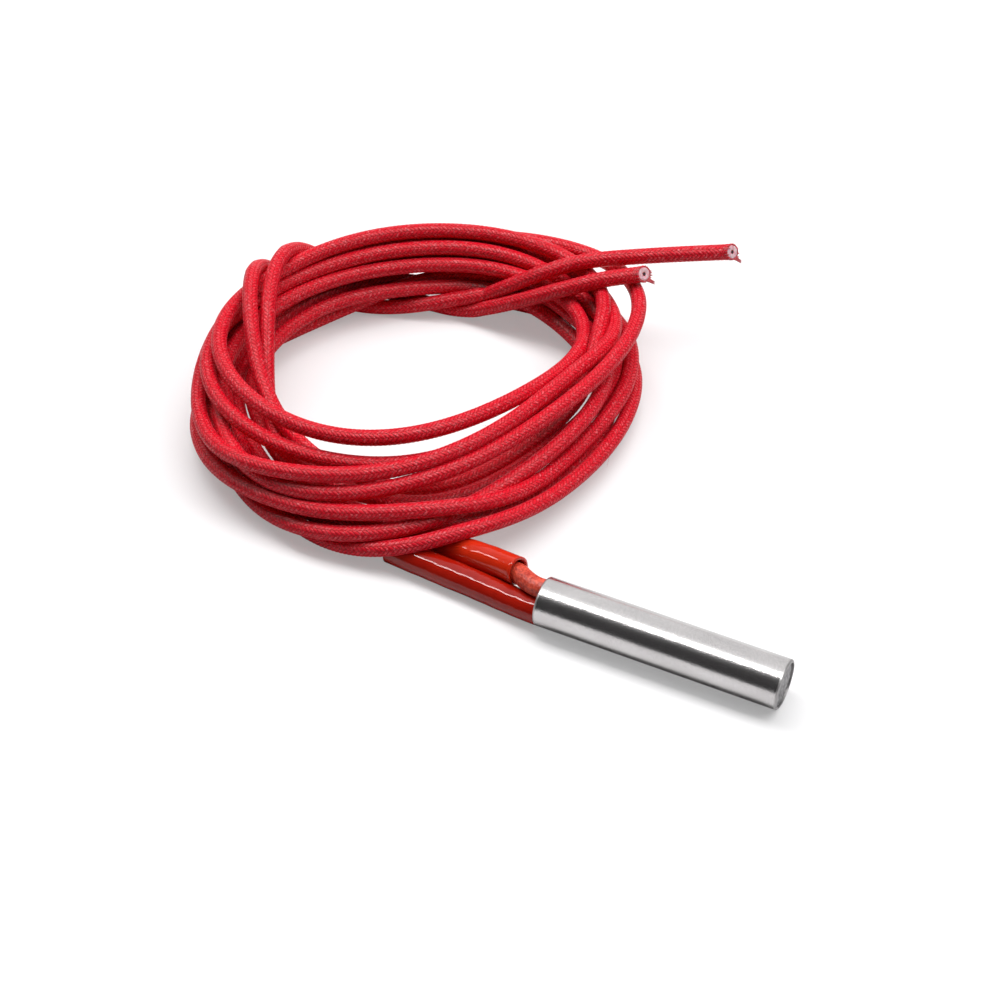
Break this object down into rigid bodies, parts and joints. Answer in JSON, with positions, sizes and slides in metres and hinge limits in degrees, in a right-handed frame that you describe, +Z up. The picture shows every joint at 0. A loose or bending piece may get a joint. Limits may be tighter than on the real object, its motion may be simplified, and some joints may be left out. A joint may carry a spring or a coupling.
{
  "type": "cartridge heater",
  "caption": "Slim round metal heating cartridge, closed at one end, with braided red leads in orange sleeves wound into a loose coil; fits a bore in a mould or press tool.",
  "frame": {"origin": "on the floor under the middle of the sheath, which lies on its side", "axes": "+X along the sheath towards its closed end, +Z up"},
  "size_m": [0.0885, 0.0654, 0.013],
  "materials": {
    "sheath_steel": "fine ground",
    "disc_steel": "matt, welded",
    "magnesia": "matt, packed powder",
    "core_ceramic": "matt, fired",
    "resistance_wire": "dark, oxidised",
    "pin_nickel": "drawn",
    "crimp_brass": "pressed",
    "seal_cement": "matt, cast",
    "sleeve": "glossy varnish",
    "braid": "varnished glass braid"
  },
  "bodies": {
    "root": {"sheath_tube": "sheath_steel", "end_disc": "disc_steel", "base_spacer": "core_ceramic", "magnesia_core": "core_ceramic", "resistance_winding": "resistance_wire", "magnesia_fill": "magnesia", "insulator_bead": "core_ceramic", "terminal_pin_a": "pin_nickel", "terminal_pin_b": "pin_nickel", "crimp_a": "crimp_brass", "crimp_b": "crimp_brass", "conductor_a": "pin_nickel", "conductor_b": "pin_nickel", "lead_end_fill": "magnesia", "potting_seal": "seal_cement", "sleeve_a": "sleeve", "sleeve_b": "sleeve", "lead_a_run": "braid", "lead_b_run": "braid", "lead_coil": "braid", "lead_a_tail": "braid", "lead_b_tail": "braid"}
  },
  "joints": []
}
